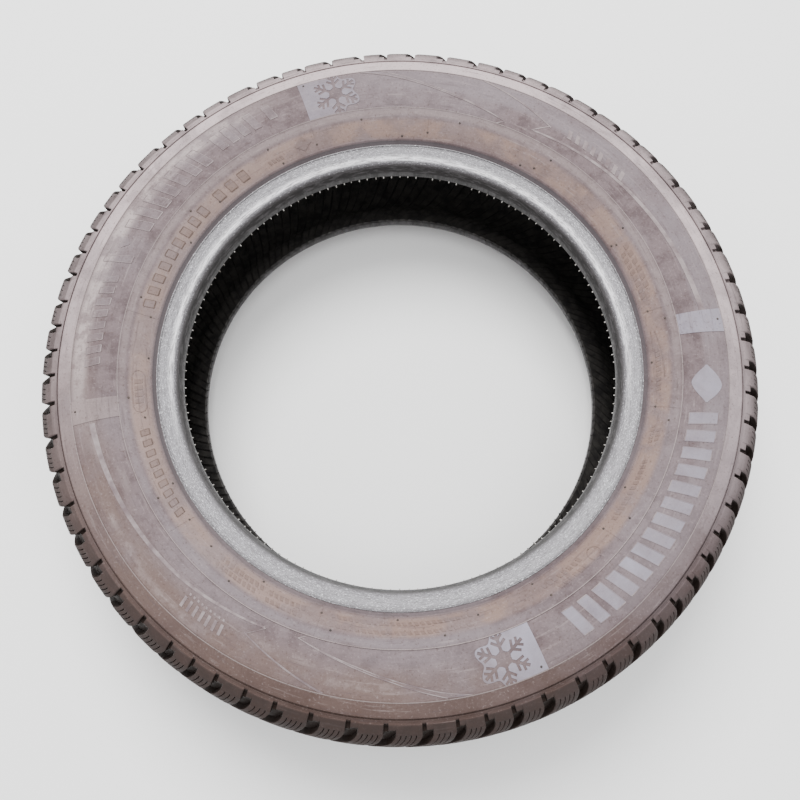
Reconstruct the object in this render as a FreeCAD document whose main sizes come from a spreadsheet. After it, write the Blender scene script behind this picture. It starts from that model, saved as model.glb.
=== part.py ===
# Old passenger-car tyre, lying flat on one sidewall.
#
# The tyre is one moulded piece, so it is one body.  Half of its section is revolved about the
# wheel's axis and mirrored in the tyre's mid-plane.  Then the fields between the plain plates
# are sunk into the upper sidewall, and the tread's grooves are cut into both halves.
# +Z is the wheel's axis.  The origin is on that axis, level with the lowest point.

import FreeCAD, Part
import Sketcher
import math
import os

# ---------------------------------------------------------------- driving dimensions (mm, degrees)

DIMENSIONS = {
    # overall
    "outer_diameter": 622.0,
    "section_width": 184.0,
    "bead_diameter": 375.0,
    # bead: toe, land, heel, flange face and the two rings outside it
    "toe_height": 48.0,
    "land_length": 7.0,
    "heel_rise": 3.2,
    "heel_height": 63.5,
    "heel_arc": 9.0,
    "flange_inner_rise": 7.0,
    "flange_inner_height": 68.6,
    "flange_outer_rise": 17.0,
    "flange_outer_height": 72.4,
    "flange_rib_width": 1.6,
    "flange_rib_rise": 0.9,
    "rim_line_start": 21.4,
    "rim_line_height": 76.0,
    "rim_line_width": 1.5,
    "rim_line_rise": 0.4,
    # sidewall
    "widest_radius": 252.0,
    "lower_wall_arc": 66.0,
    "ridge_width": 1.0,
    "ridge_rise": 0.5,
    "bevel": 0.3,
    "inner_ridge_radius": 233.4,
    "outer_ridge_radius": 272.0,
    # shoulder
    "shoulder_arc": 26.0,
    "shoulder_start": 62.0,
    "shoulder_line_radius": 284.0,
    "shoulder_line_width": 1.2,
    "shoulder_line_depth": 1.6,
    "shoulder_lip_width": 1.4,
    "shoulder_lip_rise": 0.5,
    # crown and tread
    "crown_arc": 350.0,
    "groove_depth": 6.5,
    "centre_groove_width": 6.0,
    "side_groove_width": 8.0,
    "side_groove_height": 27.0,
    "lateral_depth": 5.3,
    "lateral_slant": 27.0,
    "lateral_share": 0.33,
    "lateral_pivot": 76.0,
    "lateral_mouth_radius": 292.6,
    "mouth_half_height": 4.0,
    "mouth_lean": 2.4,
    "tail_share": 0.4,
    "tail_clearance": 0.4,
    "overcut": 12.0,
    "short_pitch_ratio": 0.88,
    "long_pitch_ratio": 1.15,
    "first_pitch_angle": 4.0,
    # inner liner
    "liner_radius": 296.5,
    "liner_crown_height": 44.0,
    "liner_shoulder_arc": 41.0,
    "liner_wall_arc": 60.0,
    "bead_core_radius": 206.0,
    "toe_thickness": 1.4,
    # fields sunk between the four plain plates of the upper sidewall
    "field_depth": 0.5,
    "first_field_angle": 9.0,
    "first_field_sweep": 91.5,
    "second_field_angle": 110.0,
    "second_field_sweep": 78.3,
    "third_field_angle": 192.5,
    "third_field_sweep": 93.0,
    "fourth_field_angle": 294.5,
    "fourth_field_sweep": 70.2,
}

# The tread's pitch sequence round the tyre: short, medium and long pitches, mixed to spread
# the tread's noise over many tones.
PITCHES = ("MLLSSMLSSMM" "MSSMLLMSLMSMLM" "SMLMSSSSMSSSM" "LLLMLLLLSSMM"
           "LLLLMSSMLMMM" "SSSSMMSMMSM")

KINDS = (("S", "short"), ("M", "medium"), ("L", "long"))
FIELDS = ("first", "second", "third", "fourth")

# ---------------------------------------------------------------- document and sheet

doc = FreeCAD.newDocument("old_tyre")
sheet = doc.addObject("Spreadsheet::Sheet", "dims")
for row, (alias, number) in enumerate(DIMENSIONS.items(), start=1):
    sheet.set("A%d" % row, alias)
    sheet.set("B%d" % row, repr(number))
    sheet.setAlias("B%d" % row, alias)
doc.recompute()


class Size:
    """A size that carries its number and the sheet formula that gives it."""

    def __init__(self, number, formula):
        self.number = number
        self.formula = formula

    def join(self, other, sign, number):
        return Size(number, "(%s %s %s)" % (self.formula, sign, other.formula))

    def __add__(self, other):
        other = as_size(other)
        return self.join(other, "+", self.number + other.number)

    def __sub__(self, other):
        other = as_size(other)
        return self.join(other, "-", self.number - other.number)

    def __mul__(self, other):
        other = as_size(other)
        return self.join(other, "*", self.number * other.number)

    def __truediv__(self, other):
        other = as_size(other)
        return self.join(other, "/", self.number / other.number)


def as_size(value):
    if isinstance(value, Size):
        return value
    return Size(float(value), repr(float(value)))


def dim(alias):
    return Size(float(sheet.get(alias)), "dims.%s" % alias)


def root(size):
    return Size(math.sqrt(size.number), "sqrt(%s)" % size.formula)


def cosine(size):
    return Size(math.cos(math.radians(size.number)), "cos(%s * 1deg)" % size.formula)


def tangent(size):
    return Size(math.tan(math.radians(size.number)), "tan(%s * 1deg)" % size.formula)


# ---------------------------------------------------------------- sketch helpers

def origin_feature(body, role):
    for feature in body.Origin.OriginFeatures:
        if feature.Role == role:
            return feature
    raise ValueError("no origin feature " + role)


def new_sketch(body, name, angle=0.0, slant=0.0, height=0.0):
    """A sketch on the body's XZ plane, turned to an angle round the tyre.  Its x is the radius
    and its y the height above the mid-plane.  It may also lean about the radius at a height."""
    sketch = body.newObject("Sketcher::SketchObject", name)
    sketch.AttachmentSupport = [(origin_feature(body, "XZ_Plane"), "")]
    sketch.MapMode = "FlatFace"
    turn = FreeCAD.Rotation(FreeCAD.Vector(0, 1, 0), angle)
    lean = FreeCAD.Rotation(FreeCAD.Vector(1, 0, 0), -slant)
    sketch.AttachmentOffset = FreeCAD.Placement(FreeCAD.Vector(0, height, 0), turn.multiply(lean))
    return sketch


def vector(point):
    return FreeCAD.Vector(point[0].number, point[1].number, 0)


def arc_edge(start, end, radius, left):
    """The short arc from start to end whose centre lies left or right of the way along it."""
    first = vector(start)
    last = vector(end)
    if not left:
        first, last = last, first
    chord = last - first
    side = FreeCAD.Vector(-chord.y, chord.x, 0)
    side.normalize()
    centre = (first + last) * 0.5 + side * math.sqrt(radius.number ** 2 - (chord.Length / 2) ** 2)
    begins = math.atan2(first.y - centre.y, first.x - centre.x)
    finishes = math.atan2(last.y - centre.y, last.x - centre.x)
    circle = Part.Circle(centre, FreeCAD.Vector(0, 0, 1), radius.number)
    return Part.ArcOfCircle(circle, begins, finishes)


def draw_outline(sketch, steps):
    """Close an outline of (point, edge) steps.  Each edge runs from its point to the next one:
    None is straight, and (radius, left) is an arc.  Every point is bound to the sheet."""
    count = len(steps)
    for index, (start, edge) in enumerate(steps):
        end = steps[(index + 1) % count][0]
        if edge is None:
            sketch.addGeometry(Part.LineSegment(vector(start), vector(end)), False)
        else:
            sketch.addGeometry(arc_edge(start, end, edge[0], edge[1]), False)
    ends = []
    for index, (start, edge) in enumerate(steps):
        first, last = 1, 2
        geometry = sketch.Geometry[index]
        if edge is not None and geometry.StartPoint.distanceToPoint(vector(start)) > 1e-6:
            first, last = 2, 1
        ends.append((first, last))
    for index in range(count):
        following = (index + 1) % count
        sketch.addConstraint(Sketcher.Constraint(
            "Coincident", index, ends[index][1], following, ends[following][0]))
    for index, (point, edge) in enumerate(steps):
        for kind, size in (("DistanceX", point[0]), ("DistanceY", point[1])):
            number = sketch.addConstraint(Sketcher.Constraint(
                kind, -1, 1, index, ends[index][0], size.number))
            sketch.setExpression("Constraints[%d]" % number, size.formula)
        if edge is not None:
            number = sketch.addConstraint(Sketcher.Constraint("Radius", index, edge[0].number))
            sketch.setExpression("Constraints[%d]" % number, edge[0].formula)


def volume_after(body, label, before, sign):
    """Recompute, and make sure that the newest feature added or removed material."""
    doc.recompute()
    volume = body.Shape.Volume
    if (volume - before) * sign <= 1.0:
        raise ValueError("%s changed nothing" % label)
    return volume


# ---------------------------------------------------------------- worked-out sizes

ZERO = Size(0.0, "0")
bead = dim("bead_diameter") / 2
crown = dim("outer_diameter") / 2
half_width = dim("section_width") / 2
widest = dim("widest_radius")

# The crown's arc is centred on the mid-plane.  The shoulder's arc leaves it tangentially at
# shoulder_start, and the upper wall's arc is tangent both to that and to the widest circle.
crown_centre = crown - dim("crown_arc")
start = dim("shoulder_start")
crown_end = crown_centre + root(dim("crown_arc") * dim("crown_arc") - start * start)
shrink = dim("shoulder_arc") / dim("crown_arc")
shoulder_radius = crown_end - (crown_end - crown_centre) * shrink
shoulder_height = start - start * shrink
across = shoulder_radius - widest
below = half_width - shoulder_height
shoulder_arc = dim("shoulder_arc")
upper_wall_arc = (across * across + below * below - shoulder_arc * shoulder_arc) / (
    (below - shoulder_arc) * 2)
upper_centre = half_width - upper_wall_arc
lower_centre = half_width - dim("lower_wall_arc")
stretch = upper_wall_arc / (upper_wall_arc - shoulder_arc)
wall_end_radius = widest + across * stretch
wall_end_height = upper_centre + (shoulder_height - upper_centre) * stretch


def wall_height(radius, depth=0.0):
    """Height of the outer wall, or of the surface that lies depth inside it, at a radius."""
    if radius.number < widest.number:
        arc, centre = dim("lower_wall_arc"), lower_centre
    else:
        arc, centre = upper_wall_arc, upper_centre
    offset = radius - widest
    inner = arc - depth
    return centre + root(inner * inner - offset * offset)


def crown_radius(height, depth=0.0):
    """Radius of the crown's arc, or of the surface that lies depth inside it, at a height."""
    inner = dim("crown_arc") - depth
    return crown_centre + root(inner * inner - height * height)


# ---------------------------------------------------------------- the half section

body = doc.addObject("PartDesign::Body", "tyre")
body.Label = "tyre"
z_axis = origin_feature(body, "Z_Axis")
mid_plane = origin_feature(body, "XY_Plane")

ridge = dim("ridge_width")
rise = dim("ridge_rise")
bevel = dim("bevel")
inner_ridge = dim("inner_ridge_radius")
outer_ridge = dim("outer_ridge_radius")
line_radius = dim("shoulder_line_radius")
line_end = line_radius + dim("shoulder_line_width")
lip_end = line_end + dim("shoulder_lip_width")
# The outline runs from the toe outwards over the top, so the centres of its outer arcs lie on
# its right-hand side and those of the liner on its left.
lower_arc = (dim("lower_wall_arc"), False)
upper_arc = (upper_wall_arc, False)
centre_groove = dim("centre_groove_width") / 2
flange_end = bead + dim("flange_outer_rise")
rib_end = flange_end + dim("flange_rib_width")
rim_line = bead + dim("rim_line_start")
rim_line_end = rim_line + dim("rim_line_width")
liner_shoulder = dim("liner_shoulder_arc")
liner_wall = dim("liner_wall_arc")
liner_widest = dim("liner_radius") - liner_shoulder
liner_top = dim("liner_crown_height") + liner_shoulder
core = dim("bead_core_radius")
core_height = liner_top - liner_wall + root(
    liner_wall * liner_wall - (liner_widest - core) * (liner_widest - core))


def on_wall(radius):
    return (radius, wall_height(radius))


def wall_ridge(radius, arc):
    """A thin raised ring on the wall, as outline steps that end on the next stretch of arc."""
    outer = radius + ridge
    return [
        (on_wall(radius), None),
        ((radius + bevel, wall_height(radius) + rise), None),
        ((outer - bevel, wall_height(outer) + rise), None),
        (on_wall(outer), arc),
    ]


steps = [
    # toe and bead land, then the taper to the heel and the flange face
    ((bead, dim("toe_height")), None),
    ((bead, dim("toe_height") + dim("land_length")), None),
    ((bead + dim("heel_rise"), dim("heel_height")), (dim("heel_arc"), False)),
    ((bead + dim("flange_inner_rise"), dim("flange_inner_height")), None),
    ((flange_end, dim("flange_outer_height")), None),
    # the bright rib and the rim line outside it
    ((flange_end + bevel, dim("flange_outer_height") + dim("flange_rib_rise")), None),
    ((rib_end - bevel, dim("flange_outer_height") + dim("flange_rib_rise")), None),
    ((rib_end, dim("flange_outer_height")), None),
    ((rim_line, dim("rim_line_height")), None),
    ((rim_line + bevel, wall_height(rim_line + bevel) + dim("rim_line_rise")), None),
    ((rim_line_end - bevel, wall_height(rim_line_end - bevel) + dim("rim_line_rise")), None),
    (on_wall(rim_line_end), lower_arc),
]
steps += wall_ridge(inner_ridge, lower_arc)
steps += [(on_wall(widest), upper_arc)]
steps += wall_ridge(outer_ridge, upper_arc)
steps += [
    # the fine line round the shoulder and its lip
    (on_wall(line_radius), None),
    ((line_radius + bevel, wall_height(line_radius) - dim("shoulder_line_depth")), None),
    ((line_end - bevel, wall_height(line_end) - dim("shoulder_line_depth")), None),
    ((line_end, wall_height(line_end) + dim("shoulder_lip_rise")), None),
    ((lip_end - bevel, wall_height(lip_end) + dim("shoulder_lip_rise")), None),
    (on_wall(lip_end), upper_arc),
    # shoulder and crown, to the centre groove on the mid-plane
    ((wall_end_radius, wall_end_height), (shoulder_arc, False)),
    ((crown_end, start), (dim("crown_arc"), False)),
    ((crown_radius(centre_groove), centre_groove), None),
    ((crown - dim("groove_depth"), centre_groove), None),
    ((crown - dim("groove_depth"), ZERO), None),
    # inner liner, back to the toe
    ((dim("liner_radius"), ZERO), None),
    ((dim("liner_radius"), dim("liner_crown_height")), (liner_shoulder, True)),
    ((liner_widest, liner_top), (liner_wall, True)),
    ((core, core_height), None),
    ((bead + dim("toe_thickness"), dim("toe_height") - dim("toe_thickness")), None),
]

section = new_sketch(body, "half_section")
draw_outline(section, steps)
doc.recompute()
revolution = body.newObject("PartDesign::Revolution", "carcass")
revolution.Profile = section
revolution.ReferenceAxis = (z_axis, [""])
revolution.Angle = 360.0
volume = volume_after(body, "carcass", 0.0, 1)

# ---------------------------------------------------------------- the other half

mirrored = body.newObject("PartDesign::Mirrored", "both_halves")
mirrored.Originals = [revolution]
mirrored.MirrorPlane = (mid_plane, [""])
body.Tip = mirrored
volume = volume_after(body, "both_halves", volume, 1)

# ---------------------------------------------------------------- fields of the upper sidewall

field_depth = dim("field_depth")
field_start = inner_ridge + ridge
above = half_width + dim("overcut")
for name in FIELDS:
    sketch = new_sketch(body, name + "_field_section", dim(name + "_field_angle").number)
    draw_outline(sketch, [
        ((field_start, wall_height(field_start, field_depth)),
         (dim("lower_wall_arc") - field_depth, False)),
        ((widest, half_width - field_depth), (upper_wall_arc - field_depth, False)),
        ((outer_ridge, wall_height(outer_ridge, field_depth)), None),
        ((outer_ridge, above), None),
        ((field_start, above), None),
    ])
    doc.recompute()
    field = body.newObject("PartDesign::Groove", name + "_field")
    field.Profile = sketch
    field.ReferenceAxis = (z_axis, [""])
    sweep = dim(name + "_field_sweep")
    field.Angle = sweep.number
    field.setExpression("Angle", sweep.formula)
    volume = volume_after(body, name + "_field", volume, -1)

# ---------------------------------------------------------------- tread grooves

outside = crown + dim("overcut")
depth = dim("groove_depth")
groove_low = dim("side_groove_height") - dim("side_groove_width") / 2
groove_high = dim("side_groove_height") + dim("side_groove_width") / 2
side_sketch = new_sketch(body, "side_groove_section")
draw_outline(side_sketch, [
    ((crown_radius(groove_low, depth), groove_low), None),
    ((outside, groove_low), None),
    ((outside, groove_high), None),
    ((crown_radius(groove_high, depth), groove_high), None),
])
doc.recompute()
side_groove = body.newObject("PartDesign::Groove", "side_groove")
side_groove.Profile = side_sketch
side_groove.ReferenceAxis = (z_axis, [""])
side_groove.Angle = 360.0
volume = volume_after(body, "side_groove", volume, -1)
side_grooves = body.newObject("PartDesign::Mirrored", "side_grooves")
side_grooves.Originals = [side_groove]
side_grooves.MirrorPlane = (mid_plane, [""])
body.Tip = side_grooves
volume = volume_after(body, "side_grooves", volume, -1)

# Lateral grooves run from the centre groove out through the shoulder, slanted so that the
# tread's halves make a V.  Their floor follows the crown and runs out on the upper wall.
ratios = {"S": dim("short_pitch_ratio").number, "M": 1.0, "L": dim("long_pitch_ratio").number}
medium = 360.0 / sum(ratios[letter] for letter in PITCHES)
starts = {"S": [], "M": [], "L": []}
angle = dim("first_pitch_angle").number
for letter in PITCHES:
    starts[letter].append(angle)
    angle += ratios[letter] * medium

slant = dim("lateral_slant")
pivot = dim("lateral_pivot")
mouth = dim("lateral_mouth_radius")
mouth_low = pivot - dim("mouth_half_height")
mouth_high = pivot + dim("mouth_half_height")
mouth_top = mouth_high + dim("mouth_half_height")


def along(height):
    """Distance from the pivot along the slanted groove to a height above mid-plane."""
    return (height - pivot) / cosine(slant)


def lateral_floor(height):
    """Level of the floor at a height, in the slanted section, which leaves the pivot's radius."""
    radius = crown_radius(height, dim("lateral_depth"))
    drift = (pivot - height) * tangent(slant)
    return root(radius * radius - drift * drift)


def lateral_outline():
    """The lateral groove's section along its length, open above the tread."""
    floor_start = centre_groove - bevel * 2
    run_out = start - dim("mouth_half_height")
    return [
        ((lateral_floor(floor_start), along(floor_start)), None),
        ((outside, along(floor_start)), None),
        ((outside, along(mouth_top)), None),
        ((mouth - dim("mouth_lean"), along(mouth_top)), None),
        ((mouth, along(mouth_high)), None),
        ((mouth + dim("mouth_lean"), along(mouth_low)), None),
        ((lateral_floor(run_out), along(run_out)), None),
        ((lateral_floor(groove_low), along(groove_low)), None),
    ]


def tail_outline():
    """The claw-shaped tail that the groove's mouth ends in, on its leading side."""
    return [
        ((tail_end, wall_height(tail_end)), None),
        ((tail_end, half_width), None),
        ((outside, half_width), None),
        ((outside, mouth_low), None),
        ((mouth + dim("ridge_width"), mouth_low), None),
    ]


def add_pocket(name, section, length, symmetric):
    pocket = body.newObject("PartDesign::Pocket", name)
    pocket.Profile = section
    if symmetric:
        pocket.SideType = "Symmetric"
    pocket.Length = length.number
    pocket.setExpression("Length", length.formula)
    pocket.Refine = False
    return pocket


# The first groove of each pitch length, with its tail.
tail_end = lip_end + dim("tail_clearance")
firsts = {}
for letter, name in KINDS:
    turn = starts[letter][0]
    share = dim("lateral_share") * cosine(slant)
    width = share * (ratios[letter] * math.radians(medium)) * shoulder_radius

    section = new_sketch(body, name + "_lateral_section", turn, slant.number, pivot.number)
    section.setExpression("AttachmentOffset.Base.y", pivot.formula)
    draw_outline(section, lateral_outline())
    doc.recompute()
    lateral = add_pocket(name + "_lateral", section, width, True)
    volume = volume_after(body, name + "_lateral", volume, -1)

    lead = math.degrees(math.asin(0.5 * width.number / (cosine(slant) * mouth).number))
    section = new_sketch(body, name + "_tail_section", turn - lead)
    draw_outline(section, tail_outline())
    doc.recompute()
    tail = add_pocket(name + "_tail", section, width * dim("tail_share"), False)
    volume = volume_after(body, name + "_tail", volume, -1)
    firsts[letter] = [lateral, tail]

# All the others, in both halves.
for letter, name in KINDS:
    angles = starts[letter]
    mirror = body.newObject("PartDesign::Mirrored", name + "_mirror")
    mirror.MirrorPlane = (mid_plane, [""])
    polar = body.newObject("PartDesign::PolarPattern", name + "_polar")
    polar.Axis = (z_axis, [""])
    polar.Mode = "Spacing"
    polar.Occurrences = len(angles)
    polar.Spacings = [later - earlier for earlier, later in zip(angles, angles[1:])]
    pattern = body.newObject("PartDesign::MultiTransform", name + "_laterals")
    pattern.Originals = firsts[letter]
    pattern.Transformations = [mirror, polar]
    pattern.Refine = False
    body.Tip = pattern
    before = volume
    volume = volume_after(body, name + "_laterals", volume, -1)
    print(name, len(angles), "pitches, each cuts", round((before - volume) / len(angles)))

# ---------------------------------------------------------------- place, check and export

body.Placement = FreeCAD.Placement(FreeCAD.Vector(0, 0, half_width.number), FreeCAD.Rotation())
body.setExpression("Placement.Base.z", half_width.formula)
doc.recompute()

for item in doc.Objects:
    if "Invalid" in item.State or "Error" in item.State:
        raise ValueError("%s failed to compute" % item.Name)
parts = [body]
for part in parts:
    shape = part.Shape
    if shape.isNull() or not shape.isValid() or len(shape.Solids) != 1:
        raise ValueError("%s has no valid single solid" % part.Label)

os.makedirs("parts", exist_ok=True)
for part in parts:
    part.Shape.exportStep(os.path.join("parts", part.Label + ".step"))
    box = part.Shape.optimalBoundingBox(False)
    print(part.Label, "volume", round(part.Shape.Volume), "faces", len(part.Shape.Faces))
    print("x", round(box.XMin, 2), round(box.XMax, 2), "z", round(box.ZMin, 2), round(box.ZMax, 2))
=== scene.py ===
"""Looks of an old car tyre that lies flat on one sidewall, in the CAD model's frame.

The tyre is one moulded ring.  Its skin is made as a carcass, two halves of a tread ring that
meet in the tread's centre groove and end in the fine line round each shoulder, the relief and
plates of the upper sidewall, its vent stubs, the ribs of the inner liner and the toe's nubs.
Lengths below are in millimetres and angles in degrees, counter-clockwise seen from above;
meshes are scaled to metres when made.
"""
import math
import random

import bmesh
import bpy
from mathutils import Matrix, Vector


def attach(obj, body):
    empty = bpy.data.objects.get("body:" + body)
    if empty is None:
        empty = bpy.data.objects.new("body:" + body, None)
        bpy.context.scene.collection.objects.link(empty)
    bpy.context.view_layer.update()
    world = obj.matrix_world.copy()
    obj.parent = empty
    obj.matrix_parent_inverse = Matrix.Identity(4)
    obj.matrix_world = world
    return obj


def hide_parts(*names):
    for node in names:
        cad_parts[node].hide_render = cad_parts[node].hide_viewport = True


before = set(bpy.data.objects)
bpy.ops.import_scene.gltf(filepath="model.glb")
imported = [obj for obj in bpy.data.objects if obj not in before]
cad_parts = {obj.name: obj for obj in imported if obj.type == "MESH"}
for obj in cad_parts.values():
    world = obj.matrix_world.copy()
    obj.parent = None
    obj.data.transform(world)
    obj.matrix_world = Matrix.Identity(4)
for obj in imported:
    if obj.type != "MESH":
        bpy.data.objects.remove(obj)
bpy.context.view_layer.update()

MM = 0.001
random.seed(11)

# ------ driving sizes, as in the CAD

# The crown stays a hair inside the CAD's 311, so that the tread keeps within its box.
CROWN = 310.95
HALF = 92.0
BEAD = 187.5
TOE = 48.0
WIDEST = 252.0
LOWER_ARC = 66.0
CROWN_ARC = 350.0
SHOULDER_ARC = 26.0
SHOULDER_START = 62.0
RIDGE = 1.0
RIDGE_RISE = 0.5
INNER_RIDGE = 233.4
OUTER_RIDGE = 272.0
LINE = 284.0
DEPTH = 6.5
CENTRE_GROOVE = 3.0
SIDE_GROOVE = (23.0, 31.0)
# The lateral grooves slant up to the pivot's height, and go straight out above it.
LATERAL_DEPTH = 5.3
SLANT = 27.0
PIVOT = 76.0
MOUTH = 292.6
MOUTH_HALF = 4.0
MOUTH_LEAN = 2.4
# A groove's share of its pitch, and the shallow tail's share of the groove.
SHARE = 0.33
TAIL_SHARE = 0.4
SIPE_DEPTH = 3.0
TAB_RISE = 0.45
LINE_DEPTH = 1.6
TOE_STEP = 1.4
LINER = 296.5
LINER_CROWN = 44.0
LINER_SHOULDER = 41.0
LINER_WALL = 60.0
BEAD_CORE = 206.0
FIELD_DEPTH = 0.5
# The carcass's hidden outside lies under the tread, whose own hidden inside is a little lower.
CARCASS_TOP = 298.6
TREAD_INSIDE = 297.4

PITCHES = ("MLLSSMLSSMM" "MSSMLLMSLMSMLM" "SMLMSSSSMSSSM" "LLLMLLLLSSMM"
           "LLLLMSSMLMMM" "SSSSMMSMMSM")
RATIOS = {"S": 0.88, "M": 1.0, "L": 1.15}
SIPES = {"S": 3, "M": 3, "L": 4}
FIRST_PITCH = 4.0

# Plain plates, at the level of the wall, between the sunk fields.
PLATES = ((4.7, 9.0), (188.3, 192.5))

# ------ worked-out section

CROWN_CENTRE = CROWN - CROWN_ARC
CROWN_END = CROWN_CENTRE + math.sqrt(CROWN_ARC ** 2 - SHOULDER_START ** 2)
SHOULDER_R = CROWN_END - (CROWN_END - CROWN_CENTRE) * SHOULDER_ARC / CROWN_ARC
SHOULDER_Z = SHOULDER_START * (1 - SHOULDER_ARC / CROWN_ARC)
ACROSS = SHOULDER_R - WIDEST
BELOW = HALF - SHOULDER_Z
UPPER_ARC = (ACROSS ** 2 + BELOW ** 2 - SHOULDER_ARC ** 2) / (2 * (BELOW - SHOULDER_ARC))
UPPER_CENTRE = HALF - UPPER_ARC
LOWER_CENTRE = HALF - LOWER_ARC
WALL_END_ANGLE = math.degrees(math.atan2(SHOULDER_Z - UPPER_CENTRE, ACROSS))


def wall_height(radius, depth=0.0):
    """Height above the mid-plane of the outer wall, or of the surface depth inside it."""
    arc, centre = (LOWER_ARC, LOWER_CENTRE) if radius < WIDEST else (UPPER_ARC, UPPER_CENTRE)
    return centre + math.sqrt((arc - depth) ** 2 - (radius - WIDEST) ** 2)


def on_wall(radius, rise=0.0):
    return (radius, wall_height(radius, -rise))


def crown_radius(height, depth=0.0):
    return CROWN_CENTRE + math.sqrt((CROWN_ARC - depth) ** 2 - height ** 2)


def arc_points(centre, radius, first, last, count):
    """Points of an arc in the section, its ends left out."""
    points = []
    for step in range(1, count):
        angle = math.radians(first + (last - first) * step / count)
        points.append((centre[0] + radius * math.cos(angle), centre[1] + radius * math.sin(angle)))
    return points


def span(first, last, count):
    """Numbers between two ends, which are left out."""
    return [first + (last - first) * step / count for step in range(1, count)]


# ------ mesh helpers

def make_mesh(name, points, faces, split=False):
    """Millimetre points about the mid-plane become a mesh in metres, standing on z = 0."""
    mesh = bpy.data.meshes.new(name)
    mesh.from_pydata([(x * MM, y * MM, (z + HALF) * MM) for x, y, z in points], [], faces)
    mesh.validate()
    solid = bmesh.new()
    solid.from_mesh(mesh)
    if split:
        bmesh.ops.triangulate(solid, faces=[f for f in solid.faces if len(f.verts) > 4])
    bmesh.ops.recalc_face_normals(solid, faces=solid.faces)
    solid.to_mesh(mesh)
    solid.free()
    return mesh


def make_object(name, vertices, faces, material, sharp=40.0):
    mesh = make_mesh(name, vertices, faces)
    mesh.shade_smooth()
    mesh.set_sharp_from_angle(angle=math.radians(sharp))
    mesh.materials.append(material)
    piece = bpy.data.objects.new(name, mesh)
    bpy.context.scene.collection.objects.link(piece)
    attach(piece, "root")
    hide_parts("tyre")
    return piece


def polar(radius, angle, height):
    angle = math.radians(angle)
    return (radius * math.cos(angle), radius * math.sin(angle), height)


def ring_faces(columns, rows, flip=False):
    """Quads of a closed torus-like grid whose vertices are stored column by column.

    A mirrored grid is flipped, so that its faces look outwards."""
    faces = []
    for i in range(columns):
        j = (i + 1) % columns
        for a in range(rows):
            b = (a + 1) % rows
            quad = (i * rows + a, j * rows + a, j * rows + b, i * rows + b)
            faces.append(quad[::-1] if flip else quad)
    return faces


def tube_faces(base, sides, rings):
    """Faces of a closed tube whose rings of vertices are stored one after another."""
    faces = []
    for level in range(rings - 1):
        for k in range(sides):
            a = base + level * sides + k
            b = base + level * sides + (k + 1) % sides
            faces.append((a, b, b + sides, a + sides))
    faces.append(tuple(base + k for k in reversed(range(sides))))
    faces.append(tuple(base + (rings - 1) * sides + k for k in range(sides)))
    return faces


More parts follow.
